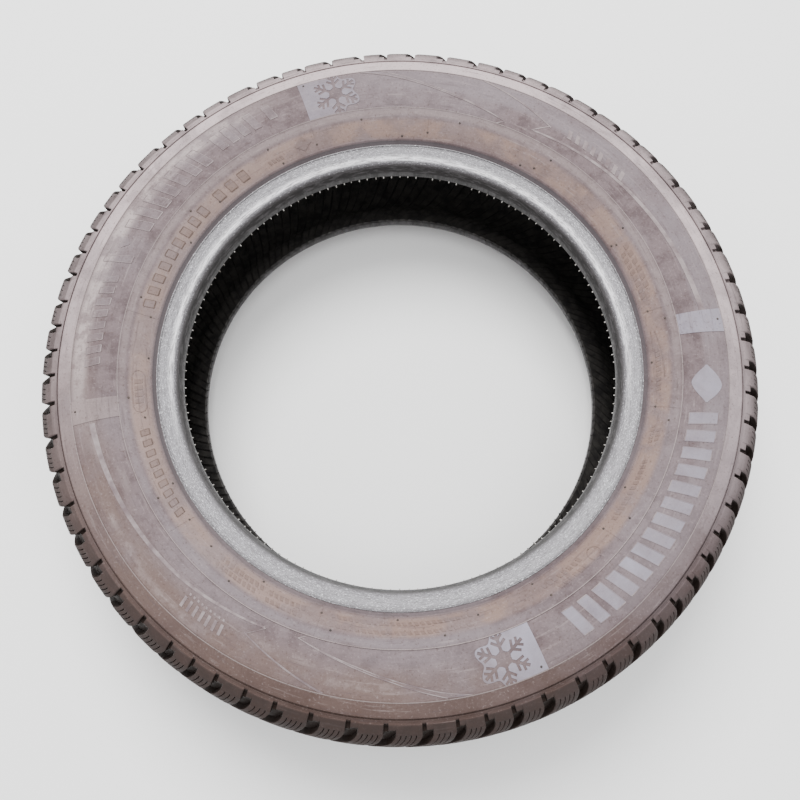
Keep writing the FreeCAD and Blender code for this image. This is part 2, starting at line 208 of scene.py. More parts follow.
class Slabs:
    """Many thin closed slabs that follow the upper wall, gathered into one mesh."""

    def __init__(self):
        self.vertices = []
        self.faces = []

    def add(self, grid, top=0.0, sunk=1.4):
        """grid[i][j] is (radius, angle); the slab's top is top below the wall's level."""
        base = len(self.vertices)
        last_i = len(grid) - 1
        last_j = len(grid[0]) - 1
        for level in (top, sunk):
            for line in grid:
                for radius, angle in line:
                    self.vertices.append(polar(radius, angle, wall_height(radius, level)))

        def quad(*corners):
            """A face from corners given as (i, j, 0 on top or 1 below)."""
            self.faces.append(tuple(base + (under * (last_i + 1) + i) * (last_j + 1) + j
                                    for i, j, under in corners))

        for i in range(last_i):
            for j in range(last_j):
                quad((i, j, 0), (i + 1, j, 0), (i + 1, j + 1, 0), (i, j + 1, 0))
                quad((i, j, 1), (i, j + 1, 1), (i + 1, j + 1, 1), (i + 1, j, 1))
            quad((i, 0, 0), (i, 0, 1), (i + 1, 0, 1), (i + 1, 0, 0))
            quad((i, last_j, 0), (i + 1, last_j, 0), (i + 1, last_j, 1), (i, last_j, 1))
        for j in range(last_j):
            quad((0, j, 0), (0, j + 1, 0), (0, j + 1, 1), (0, j, 1))
            quad((last_i, j, 0), (last_i, j, 1), (last_i, j + 1, 1), (last_i, j + 1, 0))

    def ribbon(self, path, width_start, width_end, top, step=1.0):
        """A tapering ridge along a path of (radius, angle) points."""
        dense = []
        for (r0, a0), (r1, a1) in zip(path, path[1:]):
            length = math.hypot(r1 - r0, math.radians(a1 - a0) * (r0 + r1) / 2)
            pieces = max(1, int(math.ceil(length / (4.4 * step))))
            dense += [(r0 + (r1 - r0) * k / pieces, a0 + (a1 - a0) * k / pieces)
                      for k in range(pieces)]
        dense.append(path[-1])
        flat = [(math.radians(a) * r, r) for r, a in dense]
        count = len(flat)
        grid = []
        for k in range(count):
            x0, y0 = flat[max(k - 1, 0)]
            x1, y1 = flat[min(k + 1, count - 1)]
            length = math.hypot(x1 - x0, y1 - y0)
            nx, ny = (y1 - y0) / length, -(x1 - x0) / length
            half = (width_start + (width_end - width_start) * k / (count - 1)) / 2
            radius, angle = dense[k]
            grid.append([(radius + ny * half * side, angle + math.degrees(nx * half * side / radius))
                         for side in (-1.0, 0.0, 1.0)])
        self.add(grid, top)

    def bar(self, angle, r_low, r_high, width, lean, top, taper=1.0):
        """A raised bar, leaning by a width-wise shift of its outer end, in mm."""
        rows = max(2, int((r_high - r_low) / 3.0))
        grid = []
        for k in range(rows + 1):
            part = k / rows
            radius = r_low + (r_high - r_low) * part
            half = width / 2 * (1 + (taper - 1) * part)
            shift = lean * (part - 0.5)
            grid.append([(radius, angle + math.degrees((half * side - shift) / radius))
                         for side in (1.0, 0.33, -0.33, -1.0)])
        self.add(grid, top)

    def ring_segment(self, first, last, r_low, r_high, top):
        count = int(last - first)
        grid = []
        for k in range(count + 1):
            angle = first + (last - first) * k / count
            grid.append([(r_high, angle), ((r_low + r_high) / 2, angle), (r_low, angle)])
        self.add(grid, top)

    def lozenge(self, angle, radius, half_across, half_out, top, corners, power):
        """A rounded or pointed lozenge, made as a grid squeezed towards its two tips."""
        grid = []
        for k in range(corners + 1):
            part = -1.0 + 2.0 * k / corners
            reach = max(0.06, 1.0 - abs(part) ** power)
            place = angle - math.degrees(half_across * part / radius)
            grid.append([(radius + half_out * reach * side, place) for side in (1.0, 0.0, -1.0)])
        self.add(grid, top)


# ------ carcass

def in_field(angle):
    """Whether the upper wall's band is sunk at an angle."""
    return not any(first - 0.01 < angle < last + 0.01 for first, last in PLATES)


def carcass_columns():
    """Angles of the carcass grid, doubled at the plates' edges to make crisp steps."""
    edges = [edge for plate in PLATES for edge in plate]
    angles = [0.75 * k for k in range(480)]
    angles = [a for a in angles if all(abs(a - edge) > 0.2 for edge in edges)]
    for first, last in PLATES:
        angles += [first - 0.1, first, last, last + 0.1]
    return sorted(angles)


def ridge_rows(low):
    """Section of a thin ridge, from its outer foot to its inner one."""
    high = low + RIDGE
    return [on_wall(high), (high - 0.25, wall_height(high) + RIDGE_RISE),
            (low + 0.25, wall_height(low) + RIDGE_RISE), on_wall(low)]


def wall_rows():
    """Section points of one side, from under the tread to the toe, as (r, z, in the band)."""
    rows = [(290.0, 71.0), (286.8, 78.5), (285.3, 81.5)]
    rows += [(LINE + 1.05, wall_height(LINE + 1.2) - LINE_DEPTH),
             (LINE + 0.15, wall_height(LINE) - LINE_DEPTH)]
    rows += [on_wall(LINE, -0.12), on_wall(LINE - 0.4)]
    rows += [on_wall(r) for r in span(LINE - 0.4, OUTER_RIDGE + RIDGE, 5)]
    rows += ridge_rows(OUTER_RIDGE)
    band_high = OUTER_RIDGE - 0.2
    band_low = INNER_RIDGE + RIDGE + 0.2
    band = [on_wall(r) for r in [band_high] + span(band_high, band_low, 16) + [band_low]]
    low = ridge_rows(INNER_RIDGE)
    low += [on_wall(r) for r in span(INNER_RIDGE, BEAD + 22.9, 8)]
    # the rim line, the rib beside it, the flange face, the heel, the seat, the land and the toe
    rim_line = BEAD + 21.4
    low += [on_wall(rim_line + 1.5), on_wall(rim_line + 1.1, 0.4), on_wall(rim_line + 0.3, 0.4)]
    low += [(rim_line, 76.0), (207.6, 74.3), (206.1, 72.5)]
    low += [(205.7, 73.3), (204.9, 73.3), (204.5, 72.4)]
    low += [(202.5, 71.7), (200.0, 70.8), (197.5, 69.8), (195.6, 69.1), (194.5, 68.6)]
    low += arc_points((199.35, 61.02), 9.0, 122.6, 164.0, 5)
    low += [(190.7, 63.5), (189.6, 60.6), (188.5, 57.7), (187.6, 55.2)]
    low += [(BEAD, 54.6), (BEAD, 51.5), (BEAD, TOE + 0.5), (BEAD + 0.25, TOE - 0.1)]
    low += [(BEAD + 0.8, TOE - 0.9), (BEAD + TOE_STEP, TOE - TOE_STEP)]
    parts = ((rows, False), (band, True), (low, False))
    return [(r, z, in_band) for points, in_band in parts for r, z in points]


def liner_rows():
    """The inner liner, from the upper toe to the crown's mid-plane."""
    wall_top = LINER_CROWN + LINER_SHOULDER
    widest = LINER - LINER_SHOULDER
    centre = (widest, wall_top - LINER_WALL)
    core_angle = math.degrees(math.acos((BEAD_CORE - widest) / LINER_WALL))
    rows = [(194.5, 50.6), (200.0, 54.6)]
    rows += [(centre[0] + LINER_WALL * math.cos(math.radians(core_angle)),
              centre[1] + LINER_WALL * math.sin(math.radians(core_angle)))]
    rows += arc_points(centre, LINER_WALL, core_angle, 90.0, 7)
    rows += [(widest, wall_top)]
    rows += arc_points((widest, LINER_CROWN), LINER_SHOULDER, 90.0, 0.0, 7)
    rows += [(LINER, LINER_CROWN), (LINER, 30.0), (LINER, 15.0)]
    return rows


def build_carcass(material):
    upper = wall_rows()
    liner = liner_rows()
    rest = liner + [(LINER, 0.0)] + [(r, -z) for r, z in reversed(liner)]
    rest += [(r, -z) for r, z, band in reversed(upper)]
    rest += [(CARCASS_TOP, z) for z in (-56.0, -28.0, 0.0, 28.0, 56.0)]
    rows = upper + [(r, z, False) for r, z in rest]
    angles = carcass_columns()
    vertices = []
    for angle in angles:
        sunk = in_field(angle)
        for radius, height, band in rows:
            if band and sunk:
                height = wall_height(radius, FIELD_DEPTH)
            vertices.append(polar(radius, angle, height))
    faces = ring_faces(len(angles), len(rows))
    return make_object("carcass", vertices, faces, material)


# ------ tread

def outward(radius, height):
    """Outward normal of the tread's and wall's section at a point on it."""
    if height > SHOULDER_Z + SHOULDER_ARC * math.sin(math.radians(WALL_END_ANGLE)):
        centre = (WIDEST, UPPER_CENTRE)
    elif height > SHOULDER_START:
        centre = (SHOULDER_R, SHOULDER_Z)
    else:
        centre = (CROWN_CENTRE, 0.0)
    length = math.hypot(radius - centre[0], height - centre[1])
    return ((radius - centre[0]) / length, (height - centre[1]) / length)


def lateral_floor(height):
    """Floor of a lateral groove as (radius, height): a steep mouth, a ramp, then the crown's arc."""
    run_out = SHOULDER_START - MOUTH_HALF
    if height <= run_out:
        return (crown_radius(height, LATERAL_DEPTH), height)
    if height >= PIVOT - MOUTH_HALF:
        return (MOUTH + MOUTH_LEAN * (PIVOT + MOUTH_HALF - height) / (2 * MOUTH_HALF), height)
    climb = crown_radius(run_out, LATERAL_DEPTH) - MOUTH - MOUTH_LEAN
    share = (PIVOT - MOUTH_HALF - height) / (PIVOT - MOUTH_HALF - run_out)
    return (MOUTH + MOUTH_LEAN + climb * share, height)


def tread_rows():
    """Rows of one half of the tread, from the shoulder's line to the centre groove.

    Each row gives the point on the block's face, how far a raised tab stands out there, the point
    on the groove's floor, and how deep the groove's shallow tail and a sipe are there."""
    rows = []

    def turn(angle):
        angle = math.radians(angle)
        return (SHOULDER_R + SHOULDER_ARC * math.cos(angle),
                SHOULDER_Z + SHOULDER_ARC * math.sin(angle))

    def row(face, tab=0.0, floor=None, tail=None, sipe=0.0):
        rows.append({"face": face, "tab": tab, "floor": floor, "tail": tail, "sipe": sipe})

    def round_groove(*profile):
        """Rows across a groove that runs round the tread, each at a (height, depth)."""
        for height, depth in profile:
            floor = (crown_radius(height, max(depth, LATERAL_DEPTH)), height)
            row((crown_radius(height, depth), height), floor=floor)

    row((LINE + 1.05, wall_height(LINE + 1.2) - LINE_DEPTH))
    row((LINE + 1.2, wall_height(LINE + 1.2) + 0.5))
    row((LINE + 2.3, wall_height(LINE + 2.6) + 0.5))
    row(on_wall(LINE + 2.6))
    row(on_wall(287.0))
    row(on_wall(288.1), tail=1.0)
    for radius, tail in ((288.4, 1.2), (290.2, 2.6), (291.8, 3.6)):
        row(on_wall(radius), tab=TAB_RISE, tail=tail)
    row(on_wall(292.5), tab=TAB_RISE, floor=lateral_floor(80.0), tail=4.2)
    row(turn(WALL_END_ANGLE), tab=TAB_RISE, floor=lateral_floor(75.8))
    row(turn(50.5), tab=TAB_RISE, floor=lateral_floor(72.6))
    row(turn(48.5), tab=0.1, floor=lateral_floor(71.4), sipe=2.2)
    for angle, height in ((42.0, 68.4), (35.0, 65.6), (28.0, 62.9), (20.0, 60.2)):
        row(turn(angle), floor=lateral_floor(height), sipe=SIPE_DEPTH)
    row((CROWN_END, SHOULDER_START), floor=lateral_floor(57.6), sipe=SIPE_DEPTH)
    for height in (52.0, 45.0, 38.0, SIDE_GROOVE[1] + 0.8):
        row((crown_radius(height), height), floor=lateral_floor(height), sipe=SIPE_DEPTH)
    low, high = SIDE_GROOVE
    round_groove((high, 0.5), (high - 0.5, DEPTH), (low + 0.5, DEPTH), (low, 0.5))
    for height in (SIDE_GROOVE[0] - 0.8, 16.0, 10.0, CENTRE_GROOVE + 0.8):
        row((crown_radius(height), height), floor=lateral_floor(height), sipe=SIPE_DEPTH)
    round_groove((CENTRE_GROOVE, 0.5), (CENTRE_GROOVE - 0.4, DEPTH), (0.0, DEPTH))
    return rows


def tread_columns():
    """Columns round the tread, as (angle at the groove's mouth, kind of column)."""
    total = sum(RATIOS[letter] for letter in PITCHES)
    medium = 360.0 / total
    columns = []
    angle = FIRST_PITCH
    for letter in PITCHES:
        pitch = RATIOS[letter] * medium
        unit = 1.0 / (math.radians(pitch) * 300.0)
        half = SHARE / 2
        tail_end = -half + SHARE * TAIL_SHARE
        local = [(-half, "edge"), (-half + 0.35 * unit, "tail"), (tail_end - 0.3 * unit, "tail"),
                 (tail_end, "floor"), (half - 0.4 * unit, "floor"), (half, "edge"),
                 (half + 0.7 * unit, "face")]
        count = SIPES[letter]
        for k in range(1, count + 1):
            place = half + (1 - SHARE) * k / (count + 1)
            local += [(place - 0.42 * unit, "face"), (place, "sipe"), (place + 0.42 * unit, "face")]
        local += [(1 - half - 0.7 * unit, "face")]
        columns += [(angle + u * pitch, kind) for u, kind in local]
        angle += pitch
    return columns


def shear(radius, height):
    """Degrees that the pattern is turned back by at a height, where it slants below the pivot."""
    if height >= PIVOT:
        return 0.0
    return math.degrees((PIVOT - height) * math.tan(math.radians(SLANT)) / radius)


def build_tread(name, material, side):
    """One half of the tread as a closed ring, whose inner side lies inside the carcass."""
    rows = tread_rows()
    inner = [(TREAD_INSIDE, 0.0), (TREAD_INSIDE, 30.0), (TREAD_INSIDE, 52.0), (289.2, 70.0),
             (284.6, 80.0)]
    columns = tread_columns()
    vertices = []
    for angle, kind in columns:
        for row in rows:
            radius, height = row["face"]
            out = outward(radius, height)
            rise = 0.0
            if kind in ("face", "sipe"):
                rise = row["tab"]
            if kind == "sipe":
                rise -= row["sipe"]
            if kind == "edge" and row["floor"]:
                rise -= 0.3
            if kind == "tail" and row["tail"]:
                rise -= row["tail"]
            elif kind in ("floor", "tail") and row["floor"]:
                radius, height = row["floor"]
                rise = 0.0
            radius += out[0] * rise
            height += out[1] * rise
            turned = angle - shear(*row["face"])
            vertices.append(polar(radius, turned, height * side))
        for radius, height in inner:
            vertices.append(polar(radius, angle - shear(radius, height), height * side))
    faces = ring_faces(len(columns), len(rows) + len(inner), flip=side < 0)
    return make_object(name, vertices, faces, material, sharp=32.0)


# ------ relief of the upper sidewall

# Tops, given as depths below the wall: relief in the sunk fields, and low relief near the bead.
FLUSH = 0.12
LOW = -0.35
EDGE_LIFT = 0.10
EDGE_WIDTH = 0.75
# Rows of bars: first and last angle, inner and outer radius, count, share of the pitch, lean.
LARGE_ROWS = ((301.0, 349.6, 240.5, 264.0, 14, 0.66, -5.0),
              (163.2, 182.4, 248.0, 260.0, 8, 0.62, -3.0),
              (132.6, 153.8, 243.0, 264.2, 7, 0.66, -6.0),
              (119.8, 130.4, 246.0, 263.6, 4, 0.64, -4.0))
SMALL_ROWS = ((39.4, 54.6, 250.0, 258.0, 8, 0.50, -3.0),
              (229.2, 238.6, 254.5, 263.0, 7, 0.42, -1.0),
              (229.6, 238.0, 250.6, 252.4, 9, 0.45, -0.5))
# The rows near the bead, which all have one share and lean.
INNER_SHARE = 0.6
INNER_LEAN = -1.4
OUTLINED_FROM = 6.0
INNER_ROWS = (
    (140.4, 168.6, 214.6, 222.4, 9), (127.6, 138.4, 214.6, 222.4, 3),
    (118.8, 122.8, 214.4, 217.4, 4), (14.4, 26.8, 213.4, 216.8, 8),
    (16.6, 28.4, 218.4, 222.0, 6), (195.6, 217.2, 214.6, 221.0, 9),
    (229.0, 240.6, 214.2, 217.6, 9), (229.0, 239.4, 219.4, 222.6, 9),
    (241.6, 250.2, 214.6, 217.8, 7), (241.6, 250.2, 220.4, 223.6, 7),
    (255.4, 285.2, 213.6, 216.2, 24), (255.4, 284.6, 220.4, 223.0, 22),
    (300.6, 311.0, 215.8, 219.4, 8), (303.4, 311.0, 222.6, 225.8, 6),
    (321.6, 337.0, 215.4, 218.6, 12), (340.6, 345.0, 214.8, 217.2, 5),
    (341.2, 344.4, 218.8, 221.2, 3), (352.6, 362.6, 214.4, 217.8, 9))
# Single bars: angle, inner and outer radius, width, lean, top, taper.
SINGLE_BARS = ((160.2, 243.5, 267.0, 7.6, -7.0, FLUSH, 0.7),
               (117.2, 248.5, 262.5, 8.0, -3.0, FLUSH, 1.0))
# Angle, radius, half sizes across and out, top, corners and roundness.
LOZENGES = ((354.6, 253.0, 16.0, 12.5, FLUSH, 14, 1.6), (156.6, 257.5, 5.6, 5.6, FLUSH, 8, 1.3),
            (113.4, 218.6, 8.0, 5.4, LOW, 8, 1.0))


def draw_flash(slabs, edges, start):
    """A tapering band, the zigzag it ends in, and a curved blade, seen from a plate's edge."""
    edges.ribbon([(256.3, start), (252.0, start + 17.0), (247.5, start + 34.0),
                  (240.8, start + 51.6)], 4.6, 1.4, FLUSH)
    edges.ribbon([(240.6, start + 51.9), (251.2, start + 49.0)], 1.3, 1.0, FLUSH)
    edges.ribbon([(250.9, start + 48.7), (261.5, start + 56.6), (272.0, start + 64.6)],
                 1.0, 1.6, FLUSH)
    outer = [(272.0, 88.6), (266.5, 83.6), (260.2, 79.0), (254.2, 74.2), (248.6, 69.4),
             (243.6, 64.2), (240.2, 60.2), (238.2, 58.0)]
    inner = [(271.2, 84.6), (264.6, 80.2), (258.0, 75.9), (252.2, 71.2), (247.0, 66.8),
             (242.6, 62.4), (239.6, 59.5), (238.0, 57.9)]
    grid = [[(r0, start + a0), ((r0 + r1) / 2, start + (a0 + a1) / 2), (r1, start + a1)]
            for (r0, a0), (r1, a1) in zip(inner, outer)]
    slabs.add(grid[::-1], FLUSH)
    for line in (inner, outer):
        edges.ribbon([(radius, start + angle) for radius, angle in reversed(line)],
                     0.8, 0.8, FLUSH - EDGE_LIFT)
    edges.ribbon([(238.2, start + 57.9), (234.0, start + 59.7)], 1.2, 1.0, FLUSH)


def draw_edge(edges, angle, r_low, r_high, width, lean, top, taper=1.0):
    """A narrow frame round a bar's edge, just above its top."""
    corners = []
    for part, side in ((0.0, 1.0), (1.0, 1.0), (1.0, -1.0), (0.0, -1.0), (0.0, 1.0)):
        radius = r_low + (r_high - r_low) * part
        half = width / 2 * (1 + (taper - 1) * part) - EDGE_WIDTH / 2
        offset = half * side - lean * (part - 0.5)
        corners.append((radius, angle + math.degrees(offset / radius)))
    for start, end in zip(corners, corners[1:]):
        edges.ribbon([start, end], EDGE_WIDTH, EDGE_WIDTH, top - EDGE_LIFT)


def draw_bar_row(slabs, first, last, r_low, r_high, count, share, lean, top, edges=None):
    """Plain raised bars that stand where a tyre carries its markings."""
    pitch = (last - first) / count
    width = math.radians(pitch) * (r_low + r_high) / 2 * share
    for k in range(count):
        middle = first + pitch * (k + 0.5)
        slabs.bar(middle, r_low, r_high, width, lean, top)
        if edges:
            draw_edge(edges, middle, r_low, r_high, width, lean, top)


SECTION_LINES = (11.5, 83.4, 110.3, 169.9, 218.5, 253.5, 319.0, 349.1)
PLATE_DOTS = ((7.0, 268.0), (108.9, 269.3), (190.2, 269.0), (293.5, 268.5))
SNOW_CENTRES = (103.2, 288.1)
SNOW_RADIUS = 253.2


def vent_places():
    """(angle, radius) of the mould's vent stubs."""
    places = [(8.8 + 22.5 * k, 226.0) for k in range(16)]
    places += [(29.5 + 30.0 * k, 211.8) for k in range(12)]
    places += [(angle, 215.2) for angle in SECTION_LINES]
    places += [(29.0, 215.0), (56.2, 214.6), (137.5, 215.2), (193.4, 216.0), (226.0, 215.6),
               (286.3, 216.6)]
    return places + list(PLATE_DOTS)


def build_relief(material, edge_material, mark_material):
    slabs = Slabs()
    edges = Slabs()
    marks = Slabs()
    for start in (9.0, 193.0):
        draw_flash(slabs, edges, start)
    for angle in SECTION_LINES:
        slabs.ribbon([(211.6, angle), (222.0, angle), (232.8, angle)], 0.7, 0.7, -0.25)
    for row in LARGE_ROWS:
        draw_bar_row(slabs, *row, FLUSH, edges)
    for bar in SINGLE_BARS:
        slabs.bar(*bar)
        draw_edge(edges, *bar)
    for row in SMALL_ROWS:
        draw_bar_row(edges, *row, FLUSH)
    for first, last, low, high, count in INNER_ROWS:
        outlines = marks if high - low > OUTLINED_FROM else None
        draw_bar_row(slabs, first, last, low, high, count, INNER_SHARE, INNER_LEAN, LOW, outlines)
    for lozenge in LOZENGES:
        slabs.lozenge(*lozenge)
    # a plain rounded frame round a short row, a plain ring, and two thin lines
    first, last = 183.8, 191.0
    for low in (222.4, 212.9):
        slabs.ring_segment(first, last, low, low + 0.8, LOW)
    end = ((222.8, 0.0), (221.0, 0.9), (218.0, 1.2), (215.2, 0.9), (213.3, 0.0))
    slabs.ribbon([(radius, last + out) for radius, out in end], 0.8, 0.8, LOW, 0.3)
    slabs.ribbon([(radius, first - out) for radius, out in reversed(end)], 0.8, 0.8, LOW, 0.3)
    draw_bar_row(slabs, 184.4, 190.4, 215.2, 221.0, 4, INNER_SHARE, -1.0, LOW)
    ring = [(221.6 + 5.0 * math.sin(t), 313.6 + math.degrees(5.6 * math.cos(t) / 221.6))
            for t in [math.tau * k / 20 for k in range(21)]]
    slabs.ribbon(ring, 0.9, 0.9, LOW, 0.3)
    slabs.ribbon([(216.4, 6.6), (219.4, 1.5), (220.6, -4.0)], 0.7, 1.1, LOW)
    slabs.ribbon([(213.4, 6.8), (213.4, 2.0)], 0.6, 0.6, LOW)
    make_object("wall_relief", slabs.vertices, slabs.faces, material, 50.0)
    make_object("relief_edges", edges.vertices, edges.faces, edge_material, 50.0)
    make_object("mark_outlines", marks.vertices, marks.faces, mark_material, 50.0)


def snow_outline():
    """Flat outline, in mm, of a plain six-armed snowflake with two pairs of twigs on each arm."""
    arm, half, core = 20.6, 1.25, 6.4
    lean = math.radians(52.0)
    along, across = math.cos(lean), math.sin(lean)
    side = [(core, half)]
    for place, length, width in ((9.4, 6.4, 2.1), (14.6, 4.6, 2.0)):
        side += [(place, half),
                 (place + along * length, half + across * length),
                 (place + along * length + across * width, half + across * length - along * width),
                 (place + width / across, half)]
    side += [(arm, half)]
    points = []
    for k in range(6):
        turn = math.radians(60.0 * k + 90.0)
        forward = Vector((math.cos(turn), math.sin(turn)))
        right = Vector((math.sin(turn), -math.cos(turn)))
        points += [forward * out + right * over for out, over in side]
        points += [forward * out - right * over for out, over in reversed(side)]
        notch = turn + math.radians(30.0)
        points.append(Vector((math.cos(notch), math.sin(notch))) * (core - 0.6))
    return points


def star_outline():
    """Flat outline of the plate's scalloped edge, which goes round the snowflake's arms."""
    points = []
    for k in range(72):
        turn = math.tau * k / 72
        reach = 19.3 + 3.2 * math.cos(6.0 * (turn - math.pi / 2))
        points.append(Vector((math.cos(turn), math.sin(turn))) * reach)
    return points


def prism(outline, centre):
    """A tall upright cutter on a flat outline at an angle round the tyre."""
    base = Vector(polar(SNOW_RADIUS, centre, 0.0))
    out = base.normalized()
    across = Vector((-out.y, out.x, 0.0))
    vertices = []
    for level in (HALF - 6.0, HALF + 4.0):
        for point in outline:
            place = base - across * point.x + out * point.y
            vertices.append((place.x, place.y, level))
    total = len(outline)
    faces = [tuple(range(total))[::-1], tuple(range(total, 2 * total))]
    faces += [(k, (k + 1) % total, (k + 1) % total + total, k + total) for k in range(total)]
    cutter = bpy.data.objects.new("cutter", make_mesh("cutter", vertices, faces, True))
    bpy.context.scene.collection.objects.link(cutter)
    return cutter


def shape_plate(plate, operation, outline, centre):
    """Cut a plate with a prism, or keep only what lies inside it."""
    cutter = prism(outline, centre)
    cut = plate.modifiers.new("cut", "BOOLEAN")
    cut.operation = operation
    cut.solver = "EXACT"
    cut.object = cutter
    bpy.context.view_layer.update()
    graph = bpy.context.evaluated_depsgraph_get()
    shaped = bpy.data.meshes.new_from_object(plate.evaluated_get(graph))
    plate.modifiers.clear()
    plate.data = shaped
    bpy.data.objects.remove(cutter)


def build_plates(material):
    """The two wider plates, with a snowflake cut out of each and a scalloped edge beside it."""
    low = INNER_RIDGE + 0.6
    high = OUTER_RIDGE + 0.4
    for number, (centre, far_edge) in enumerate(zip(SNOW_CENTRES, (110.0, 294.5)), start=1):
        near_edge = centre - 0.6
        for label, first, last in (("", near_edge, far_edge), ("_edge", centre - 6.0, near_edge)):
            grid = [[(low + (high - low) * k / 12, first + (last - first) * m / 12)
                     for m in range(13)] for k in range(13)]
            slabs = Slabs()
            slabs.add(grid, 0.0, 1.6)
            plate = make_object("snow_plate_%d%s" % (number, label), slabs.vertices, slabs.faces,
                                material, 50.0)
            if label:
                shape_plate(plate, "INTERSECT", star_outline(), centre)
            shape_plate(plate, "DIFFERENCE", snow_outline(), centre)


def build_vents(material):
    """Short stubs that the mould's vents leave, cut close to the wall."""
    vertices = []
    faces = []
    sides = 8
    for angle, radius in vent_places():
        centre = Vector(polar(radius, angle, wall_height(radius)))
        base = len(vertices)
        for lift, size in ((-0.8, 0.95), (0.25, 0.95), (0.45, 0.7)):
            for k in range(sides):
                turn = math.tau * k / sides
                vertices.append((centre.x + size * math.cos(turn),
                                 centre.y + size * math.sin(turn), centre.z + lift))
        faces += tube_faces(base, sides, 3)
    return make_object("vent_stubs", vertices, faces, material, 60.0)


# ------ ribs of the inner liner

RIB_COUNT = 156
RIB_PITCH = 360.0 / RIB_COUNT
RIB_SLANT = 27.0
RIB_RISE = 0.75


def build_ribs(name, material, side):
    """Slanted strips that cover the liner like shallow saw teeth."""
    path = [(BEAD + 0.6, TOE - 0.6), (BEAD + TOE_STEP, TOE - TOE_STEP)] + liner_rows()[:-3]
    length = [0.0]
    for (r0, z0), (r1, z1) in zip(path, path[1:]):
        length.append(length[-1] + math.hypot(r1 - r0, z1 - z0))
    lean = math.tan(math.radians(RIB_SLANT))
    vertices = []
    faces = []
    for number in range(RIB_COUNT):
        start = RIB_PITCH * (number + random.uniform(-0.04, 0.04))
        base = len(vertices)
        for k, (radius, height) in enumerate(path):
            before = path[max(k - 1, 0)]
            after = path[min(k + 1, len(path) - 1)]
            dr, dz = after[0] - before[0], after[1] - before[1]
            unit = math.hypot(dr, dz)
            inward = (dz / unit, -dr / unit)
            angle = start + math.degrees(length[k] * lean / radius) * side
            rise = RIB_RISE if k > 0 else 0.1
            for away, lift in ((-0.93, -0.8), (-0.90, -0.12), (-0.06, rise), (0.0, rise - 0.1),
                               (0.05, -0.8)):
                spot = (radius + inward[0] * lift, height + inward[1] * lift)
                vertices.append(polar(spot[0], angle + RIB_PITCH * away, spot[1] * side))
        faces += tube_faces(base, 5, len(path))
    return make_object(name, vertices, faces, material, 20.0)


def build_nubs(name, material, side):
    """The little flash nubs that stand along the toe, one for each rib, with a few torn off."""
    vertices = []
    faces = []
    sides = 6
    for number in range(RIB_COUNT):
        angle = RIB_PITCH * (number + random.uniform(-0.08, 0.08))
        tall = random.uniform(1.5, 2.3)
        wide = random.uniform(0.50, 0.68)
        if random.random() < 0.07:
            continue
        start = Vector(polar(BEAD + 0.7, angle, (TOE - 0.3) * side))
        radial = Vector(polar(1.0, angle, 0.0))
        tangent = Vector((-radial.y, radial.x, 0.0))
        along = (radial * -0.80 + Vector((0.0, 0.0, -0.60 * side))).normalized()
        upright = along.cross(tangent)
        base = len(vertices)
        for out, size in ((0.0, wide), (tall, wide * 0.75)):
            for k in range(sides):
                turn = math.tau * k / sides
                spot = start + along * out
                spot += tangent * (size * math.cos(turn)) + upright * (size * math.sin(turn))
                vertices.append(tuple(spot))
        faces += tube_faces(base, sides, 2)
    return make_object(name, vertices, faces, material, 60.0)


# ------ materials

